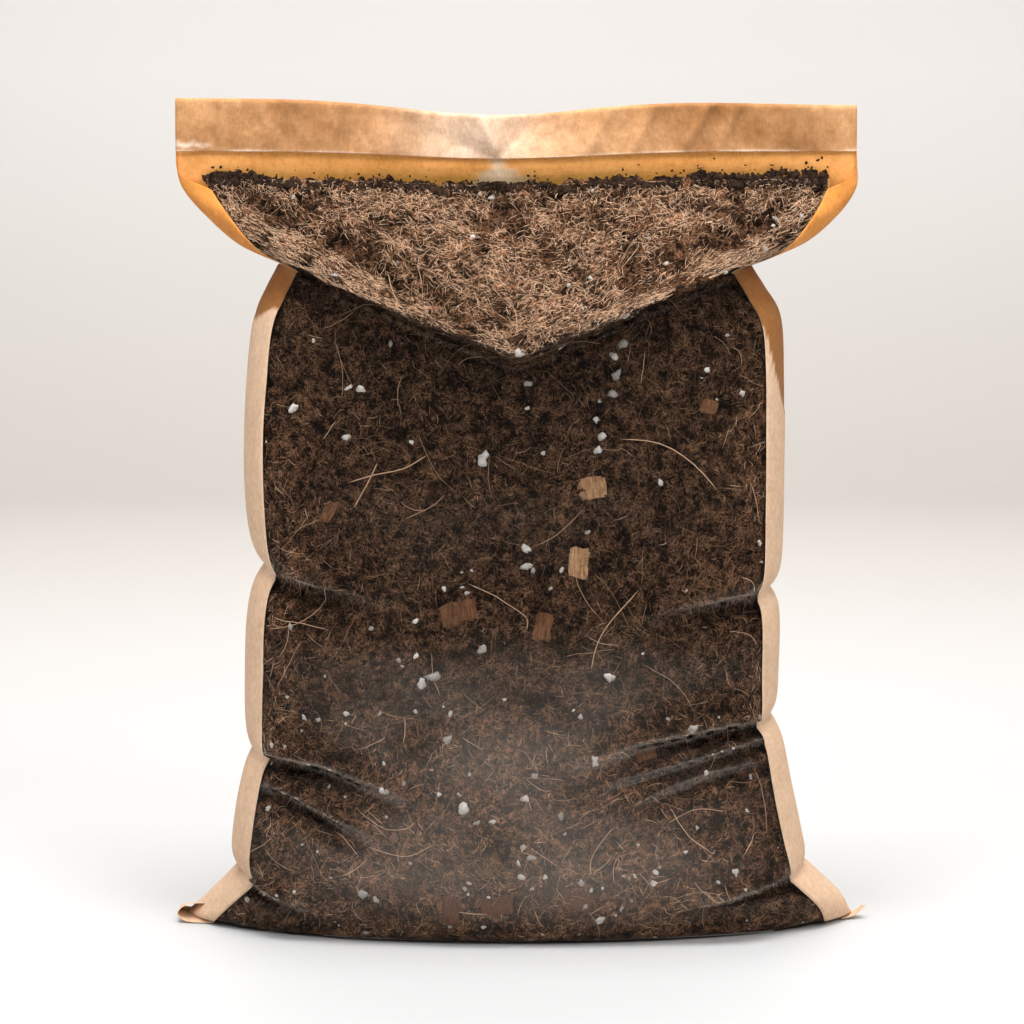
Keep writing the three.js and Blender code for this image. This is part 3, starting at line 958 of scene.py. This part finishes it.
class Front:
    """A dense table of the surface just behind the film, read at fractional places (row, column)."""

    def __init__(self):
        rows = even_rows(360, first=2.0, last=STRIP_STATION)
        self.rows = rows
        self.soil_row = np.searchsorted(rows, SOIL_LAST) - 1.5
        across = np.linspace(-1, 1, 240)[None, :] * (fill_edge(rows)[:, None] + 0.01)
        grid = surface(across, rows, out=0.2)
        self.normal = normals(grid)
        self.points = dent(grid)
        self.over = np.linalg.norm(np.gradient(self.points, axis=1), axis=-1)
        self.along = np.linalg.norm(np.gradient(self.points, axis=0), axis=-1)
        self.area = self.over * self.along

    def read(self, table, i, j):
        rows, columns = table.shape[:2]
        i = np.clip(np.asarray(i), 0, rows - 1.001)
        j = np.clip(np.asarray(j), 0, columns - 1.001)
        i0 = i.astype(int)
        j0 = j.astype(int)
        fi = i - i0
        fj = j - j0
        if table.ndim == 3:
            fi = fi[..., None]
            fj = fj[..., None]
        low = table[i0, j0] * (1 - fj) + table[i0, j0 + 1] * fj
        high = table[i0 + 1, j0] * (1 - fj) + table[i0 + 1, j0 + 1] * fj
        return low * (1 - fi) + high * fi

    def random(self, count, lowest=0.0):
        """Places spread evenly over the compost that shows, or over the part of it above a station."""
        shown = (self.rows >= lowest) & (self.rows <= SOIL_LAST)
        chance = (self.area * shown[:, None]).ravel()
        picks = rng.choice(chance.size, size=count, p=chance / chance.sum())
        i, j = np.unravel_index(picks, self.area.shape)
        return i + rng.random(count), j + rng.random(count)

    def nearest(self, x, z):
        """The table place that shows at x and z from the front."""
        away = (self.points[..., 0] - x) ** 2 + (self.points[..., 2] - z) ** 2
        near = away < away.min() + 9
        depth = np.where(near, self.points[..., 1] + 0.5 * away, 1e9)
        return np.unravel_index(np.argmin(depth), depth.shape)


front = Front()


def walk(i, j, heading, curl, length, steps):
    """Curved paths over the front: arrays of table places, one row for each fibre."""
    step = length / (steps - 1)
    at_i = [i]
    at_j = [j]
    for _ in range(steps - 1):
        over = front.read(front.over, at_i[-1], at_j[-1])
        along = front.read(front.along, at_i[-1], at_j[-1])
        next_i = at_i[-1] + step * np.sin(heading) / np.maximum(along, 0.2)
        at_i.append(np.minimum(next_i, front.soil_row))
        at_j.append(at_j[-1] + step * np.cos(heading) / np.maximum(over, 0.2))
        heading = heading + curl * step + rng.normal(0, 0.10, len(heading))
    return np.stack(at_i, axis=1), np.stack(at_j, axis=1)


def tubes(name, centres, radius, tint):
    """Thin three-sided fibres along rows of centre points, closed to a point at both ends."""
    count, steps = centres.shape[:2]
    direction = np.gradient(centres, axis=1)
    direction = direction / np.maximum(np.linalg.norm(direction, axis=-1, keepdims=True), 1e-9)
    side = np.cross(direction, np.array([0.21, -0.93, 0.31]))
    side = side / np.maximum(np.linalg.norm(side, axis=-1, keepdims=True), 1e-9)
    up = np.cross(direction, side)
    inner = slice(1, steps - 1)
    rings = []
    for k in range(3):
        angle = 2 * math.pi * k / 3
        reach = radius[:, None, None] * (math.cos(angle) * side[:, inner] + math.sin(angle) * up[:, inner])
        rings.append(centres[:, inner] + reach)
    ringed = np.stack(rings, axis=2).reshape(count, -1, 3)
    points = np.concatenate([centres[:, :1], ringed, centres[:, -1:]], axis=1)
    here = 1 + np.arange((steps - 2) * 3).reshape(steps - 2, 3)
    there = np.roll(here, -1, axis=1)
    last = points.shape[1] - 1
    first_cap = np.stack([np.zeros(3, dtype=int), there[0], here[0]], axis=-1)
    last_cap = np.stack([np.full(3, last), here[-1], there[-1]], axis=-1)
    lower = np.stack([here[:-1], there[:-1], there[1:]], axis=-1).reshape(-1, 3)
    upper = np.stack([here[:-1], there[1:], here[1:]], axis=-1).reshape(-1, 3)
    one = np.concatenate([first_cap, lower, upper, last_cap])
    faces = (one[None] + (np.arange(count) * (last + 1))[:, None, None]).reshape(-1, 3)
    obj = make_mesh(name, points, faces, FIBRE)
    set_attribute(obj, "tint", np.repeat(tint, last + 1))
    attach(obj, "root")


# Fibres at random: name, how many, shortest and longest, thinnest and thickest radius, points along each,
# greatest depth behind the film, brightness, and the lowest station that they lie on.
FIBRE_LAYERS = [
    ("coir_short", 16000, 2.0, 7.0, 0.055, 0.105, 4, 1.1, 0.9, 0.0),
    ("coir_long", 4800, 5.0, 13.0, 0.055, 0.10, 5, 0.8, 1.0, 0.0),
    # The slope's fibres are brighter as painted light on the slope that faces up to the lamps.
    ("coir_slope", 16400, 2.0, 8.0, 0.07, 0.13, 4, 0.6, 2.9, 16.0),
    ("coir_coarse", 380, 12.0, 34.0, 0.08, 0.15, 8, 0.8, 1.3, 0.0),
]


def make_fibres(name, count, low, high, thin, thick, steps, depth, bright, lowest):
    """One layer of fibres, most of them where they mat together."""
    i, j = front.random(2 * count, lowest)
    matted = clump(front.read(front.points, i, j)) + rng.normal(0, 0.3, 2 * count)
    chosen = np.sort(np.argsort(-matted)[:count + count // 3])
    chosen = rng.permutation(chosen)[:count]
    i, j = i[chosen], j[chosen]
    length = low + (high - low) * rng.random(count) ** 2
    heading = rng.uniform(0, 2 * math.pi, count)
    curl = rng.normal(0, 0.55, count) / length
    at_i, at_j = walk(i, j, heading, curl, length, steps)
    centres = front.read(front.points, at_i, at_j)
    n = front.read(front.normal, at_i, at_j)
    arch = np.sin(np.linspace(0, math.pi, steps))[None, :]
    sink = rng.uniform(0.25, depth, count)[:, None] + 0.5 * (1 - arch) + 5.5 * hollow(centres)
    centres = centres - n * sink[..., None]
    radius = thin + (thick - thin) * rng.random(count) ** 2
    start = centres[:, 0]
    # Painted light: paler low down and at the sides, and darker in the pits as painted shade.
    painted_light_factor = (1 + 0.6 * painted_light_share(start)) * (0.62 + 0.5 * smoothstep(-0.6, 0.7, clump(start)))
    tint = np.clip(rng.beta(1.6, 2.6, count) * bright * painted_light_factor, 0, 1)
    tubes(name, centres, radius, tint)


# Long fibres that stand out, each through a few places (x, z), and its radius.
LONG_FIBRES = [
    ([(48, 239), (66, 236), (82, 227), (94, 214)], 0.26),
    ([(57, 169), (45, 155), (38, 144), (35, 132)], 0.24),
    ([(-75, 206), (-69, 219), (-64, 228)], 0.30),
    ([(-78, 219), (-66, 222), (-52, 226), (-40, 232)], 0.28),
    ([(-118, 148), (-104, 152), (-92, 160), (-88, 172)], 0.20),
    ([(-22, 172), (-10, 166), (2, 156), (6, 150)], 0.20),
    ([(70, 60), (84, 66), (98, 64)], 0.18),
    ([(-6, 305), (-1, 299), (1, 291)], 0.26),
    ([(-60, 316), (-54, 306), (-55, 297)], 0.22),
    ([(68, 300), (76, 306), (80, 314)], 0.30),
    ([(-70, 48), (-52, 44), (-38, 50)], 0.18),
]


def make_long_fibres():
    steps = 10
    centres = []
    for places, _ in LONG_FIBRES:
        path = spline([front.nearest(x, z) for x, z in places], np.linspace(0, len(places) - 1, steps))
        i, j = path.T
        centres.append(front.read(front.points, i, j) - 0.3 * front.read(front.normal, i, j))
    radius = np.array([thickness for _, thickness in LONG_FIBRES])
    tubes("coir_strands", np.array(centres), radius, np.full(len(radius), 0.8))


# ---- grains, chips and crumbs ----

def arrays_of(block):
    """The points and faces of a bmesh, which is freed."""
    points = np.array([v.co[:] for v in block.verts])
    faces = np.array([[v.index for v in f.verts] for f in block.faces])
    block.free()
    return points, faces


def axes_on(n, turn):
    """Two directions square to each other and to the normal n, turned about it by an angle."""
    side = np.cross(n, [0.0, 0.0, 1.0])
    side = side / max(np.linalg.norm(side), 1e-6)
    up = np.cross(side, n)
    return (math.cos(turn) * side + math.sin(turn) * up,
            math.cos(turn) * up - math.sin(turn) * side)


def lumps(name, places, sizes, squash, jag, tint, material, seed, level=2):
    """Irregular grains, each a knocked-about ball pressed flat against the front."""
    ball = bmesh.new()
    bmesh.ops.create_icosphere(ball, subdivisions=level, radius=1.0)
    base, triangles = arrays_of(ball)
    points = []
    faces = []
    for k, ((centre, n), size) in enumerate(zip(places, sizes)):
        a, b = axes_on(n, rng.uniform(0, 2 * math.pi))
        shape = base * (1 + jag * noise(base * 10 + k * 37.0, 9, seed)[:, None]
                        + 0.5 * jag * noise(base * 10 + k * 11.0, 4, seed + 1)[:, None])
        stretch = rng.uniform(0.75, 1.25)
        local = shape[:, :1] * a * stretch + shape[:, 1:2] * b / stretch + shape[:, 2:] * n * squash
        points.append(centre + local * size / 2)
        faces.append(triangles + k * len(base))
    obj = make_mesh(name, np.concatenate(points), np.concatenate(faces), material)
    set_attribute(obj, "tint", np.repeat(tint, len(base)))
    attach(obj, "root")


def place_at(x, z, sink):
    i, j = front.nearest(x, z)
    n = front.normal[i, j]
    return front.points[i, j] - n * sink, n


# Perlite that stands out: x, z, size.
PERLITE_GRAINS = [
    (0, 279, 5), (4, 264, 4), (-78, 262, 4), (-73, 262, 4), (-105, 252, 4.5), (-79, 240, 4), (-15, 230, 7),
    (52, 293, 5), (49, 283, 4), (45, 277, 4), (46, 268, 5), (44, 260, 4), (38, 248, 4), (40, 240, 3.5),
    (38, 233, 4), (106, 259, 3.5), (67, 218, 3), (6, 188, 5), (6, 180, 4), (44, 128, 5), (-38, 128, 7),
    (-43, 125, 5), (-16, 141, 4.5), (-32, 99, 4), (36, 88, 5), (9, 82, 3.5), (-25, 67, 6), (-18, 60, 4),
    (-12, 60, 3.5), (21, 64, 3), (-64, 74, 3.5), (8, 44, 4), (3, 34, 3.5), (30, 32, 4), (-72, 25, 5),
    (-66, 22, 3.5), (32, 20, 4), (40, 12, 4.5), (64, 31, 3), (-100, 108, 3), (82, 105, 4), (1, 72, 4),
]


STRAY_GRAINS = 240


def make_perlite():
    """The grains that stand out, and small ones at random, most of them low down."""
    i, j = front.random(STRAY_GRAINS)
    height = front.read(front.points, i, j)[:, 2]
    keep = rng.random(STRAY_GRAINS) < np.where(height < 120, 0.9, 0.5)
    places = [place_at(x, z, 0.9) for x, z, _ in PERLITE_GRAINS]
    sizes = [0.8 * size for _, _, size in PERLITE_GRAINS]
    for a, b, kept in zip(i, j, keep):
        if not kept:
            continue
        n = front.read(front.normal, a, b)
        places.append((front.read(front.points, a, b) - n * 0.8, n))
        sizes.append(rng.uniform(0.9, 2.4))
    tint = rng.uniform(0.2, 1.0, len(sizes))
    lumps("perlite_grains", places, sizes, 0.5, 0.95, tint, PERLITE, 41)


# Wood chips: x, z, width, height, tilt in degrees, tint, how deep they lie.
CHIPS = [
    (35.5, 216.5, 12.0, 9.5, -8, 0.85, 1.4),
    (27.5, 181.5, 9.0, 12.0, 4, 0.95, 1.4),
    (89.5, 253.5, 8.0, 7.0, 20, 0.5, 1.4),
    (-26, 158.5, 15.0, 10.0, -15, 0.35, 1.7),
    (11, 152.5, 8.0, 11.0, 12, 0.4, 1.7),
    (-31, 18.0, 8.0, 13.0, 5, 0.2, 1.2),
    (-7.5, 20.5, 14.0, 9.0, -10, 0.2, 1.4),
    (27.5, 23.0, 13.0, 9.0, 8, 0.2, 1.4),
    (60, 92.0, 9.0, 5.0, -20, 0.3, 1.3),
    (-88, 205.0, 5.0, 11.0, 25, 0.4, 1.2),
]


CHIP_THICKNESS = 1.6


def make_chips():
    """Chips, each a block with worn edges that is knocked about and pressed against the front."""
    block = bmesh.new()
    bmesh.ops.create_cube(block, size=1.0)
    bmesh.ops.bevel(block, geom=block.edges[:], offset=0.09, segments=2, affect="EDGES")
    bmesh.ops.triangulate(block, faces=block.faces[:])
    bmesh.ops.subdivide_edges(block, edges=block.edges[:], cuts=2, use_grid_fill=True)
    bmesh.ops.triangulate(block, faces=block.faces[:])
    base, triangles = arrays_of(block)
    points = []
    faces = []
    values = {"tint": [], "grain_across": [], "grain_along": []}
    for k, (x, z, width, height, tilt, tone, sink) in enumerate(CHIPS):
        centre, n = place_at(x, z, sink)
        a, b = axes_on(n, math.radians(tilt))
        shape = base * (1 + 0.30 * noise(base * 8 + k * 23.0, 4, 51)[:, None]
                        + 0.16 * noise(base * 8 + k * 9.0, 1.5, 52)[:, None])
        local = shape[:, :1] * a * width + shape[:, 1:2] * b * height + shape[:, 2:] * n * CHIP_THICKNESS
        faces.append(triangles + k * len(base))
        points.append(centre + local)
        values["tint"].append(np.full(len(base), tone))
        values["grain_across"].append(base[:, 0] * width)
        values["grain_along"].append(base[:, 1] * height)
    obj = make_mesh("wood_chips", np.concatenate(points), np.concatenate(faces), CHIP, smooth=False)
    for attribute, numbers in values.items():
        set_attribute(obj, attribute, np.concatenate(numbers))
    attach(obj, "root")


def soil_line(x):
    """The height of the compost's edge against the paper, heaped at both ends."""
    heap = 4.0 * smoothstep(-95, -132, x) * smoothstep(-152, -142, x) + 4.2 * smoothstep(30, 110, x)
    along = np.stack([x, np.zeros_like(x), np.zeros_like(x)], axis=-1)
    wander = 1.5 * noise(along, 11, 62) + 1.0 * noise(along, 3.2, 63)
    return SOIL_LINE - 0.6 - 1.4 * bump(x, STAR[0], DENT_WIDTH) + heap + wander


CRUMB_COUNT = 2200
SPRAYED = 0.10  # the share of the crumbs that cling above the line


def make_crumbs():
    """Crumbs along the soil line, pressed between the film and the paper."""
    count = CRUMB_COUNT
    x = rng.uniform(-148, 147.5, count)
    line = soil_line(x)
    spray = rng.random(count) < SPRAYED
    z = line - rng.random(count) * (2.0 + np.clip(line - SOIL_LINE, 0, None)) + 0.9
    z = np.where(spray, line + rng.exponential(1.8, count), z)
    places = [place_at(a, b, 0.7) for a, b in zip(x, z)]
    sizes = np.where(spray, rng.uniform(0.5, 1.4, count), rng.uniform(1.2, 3.2, count))
    lumps("soil_line_crumbs", places, sizes, 0.3, 1.0, rng.random(count), CRUMB, 61, level=1)


# ---- stage, lights and camera ----

def stage_material():
    material, tree, output = new_material("studio_white")
    shader = tree.nodes.new("ShaderNodeBsdfPrincipled")
    where = coordinates(tree)
    split = tree.nodes.new("ShaderNodeSeparateXYZ")
    tree.links.new(where, split.inputs[0])
    far = math_node(tree, "MULTIPLY", split.outputs["Y"], 0.5)
    ground = ramp(tree, far, [(0.1, (0.54, 0.54, 0.54)), (0.8, (0.63, 0.59, 0.55))])
    wall = ramp(tree, split.outputs["Z"], [(0.03, BLACK), (0.5, WHITE)])
    rise = mix_color(tree, wall, ground, (0.80, 0.775, 0.75))
    cloud = noise_node(tree, where, 1.5, detail=2)
    soft = ramp(tree, cloud, [(0.3, (0.98, 0.98, 0.98)), (0.7, (1.0, 1.0, 1.0))])
    tree.links.new(mix_color(tree, 1.0, rise, soft, "MULTIPLY"), shader.inputs["Base Color"])
    shader.inputs["Roughness"].default_value = 0.6
    tree.links.new(shader.outputs[0], output.inputs["Surface"])
    return material


def make_stage():
    """A pale floor that curves up into a wall behind."""
    front_y, bend_y, radius, wall_top = -4.0, 2.0, 0.6, 3.2
    profile = [(front_y, 0.0), (bend_y, 0.0)]
    for k in range(1, 13):
        angle = math.pi / 2 * k / 12
        profile.append((bend_y + radius * math.sin(angle), radius * (1 - math.cos(angle))))
    profile.append((bend_y + radius, wall_top))
    half = 5.0
    points = [(x, y, z) for y, z in profile for x in (-half, half)]
    faces = [(2 * k, 2 * k + 1, 2 * k + 3, 2 * k + 2) for k in range(len(profile) - 1)]
    mesh = bpy.data.meshes.new("studio_floor")
    mesh.from_pydata(points, [], faces)
    mesh.materials.append(stage_material())
    for polygon in mesh.polygons:
        polygon.use_smooth = True
    floor = bpy.data.objects.new("studio_floor", mesh)
    bpy.context.collection.objects.link(floor)


# Area lights: name, place, what it points at, size, power in watts, and whether the camera and reflections
# see it.
LIGHTS = [
    ("overhead", (0.0, -0.35, 1.9), (0.0, 0.0, 0.1), (1.4, 1.0), 50, False),
    ("key_left", (-1.1, -1.4, 1.4), (0.0, 0.0, 0.2), (0.9, 0.9), 13.5, False),
    ("key_right", (1.1, -1.4, 1.4), (0.0, 0.0, 0.2), (0.9, 0.9), 20, False),
    ("back_light", (0.0, 1.1, 1.5), (0.0, 0.0, 0.3), (1.4, 0.5), 8, False),
    ("wall_wash", (0.0, 1.2, 2.1), (0.0, 2.6, 0.5), (3.0, 0.6), 26, True),
]


def make_lights():
    world = bpy.data.worlds.new("studio")
    bpy.context.scene.world = world
    world.use_nodes = True
    back = world.node_tree.nodes["Background"]
    back.inputs["Color"].default_value = (1.0, 0.985, 0.97, 1)
    back.inputs["Strength"].default_value = 0.22
    for name, place, target, size, power, seen in LIGHTS:
        data = bpy.data.lights.new(name, "AREA")
        data.shape = "RECTANGLE"
        data.size, data.size_y = size
        data.energy = power
        light = bpy.data.objects.new(name, data)
        light.location = place
        light.rotation_euler = (Vector(target) - Vector(place)).to_track_quat("-Z", "Y").to_euler()
        light.visible_glossy = seen
        light.visible_camera = seen
        bpy.context.collection.objects.link(light)


def make_camera():
    """A viewer 1.5 m away with a long lens, at the height of the bag's mouth and looking down a little."""
    data = bpy.data.cameras.new("camera")
    data.sensor_width = 36
    data.lens = 110.07
    camera = bpy.data.objects.new("camera", data)
    camera.location = Vector(to_world([-2.0, -1500.0, 358.0]).tolist())
    camera.rotation_euler = (math.radians(90 - 6.07), 0, 0)
    bpy.context.collection.objects.link(camera)
    bpy.context.scene.camera = camera


bpy.context.scene.view_settings.view_transform = "Standard"
make_camera()
make_lights()
make_stage()
make_soil()
make_film()
make_paper()
make_strip()
make_ears()
for layer in FIBRE_LAYERS:
    make_fibres(*layer)
make_long_fibres()
make_perlite()
make_chips()
make_crumbs()
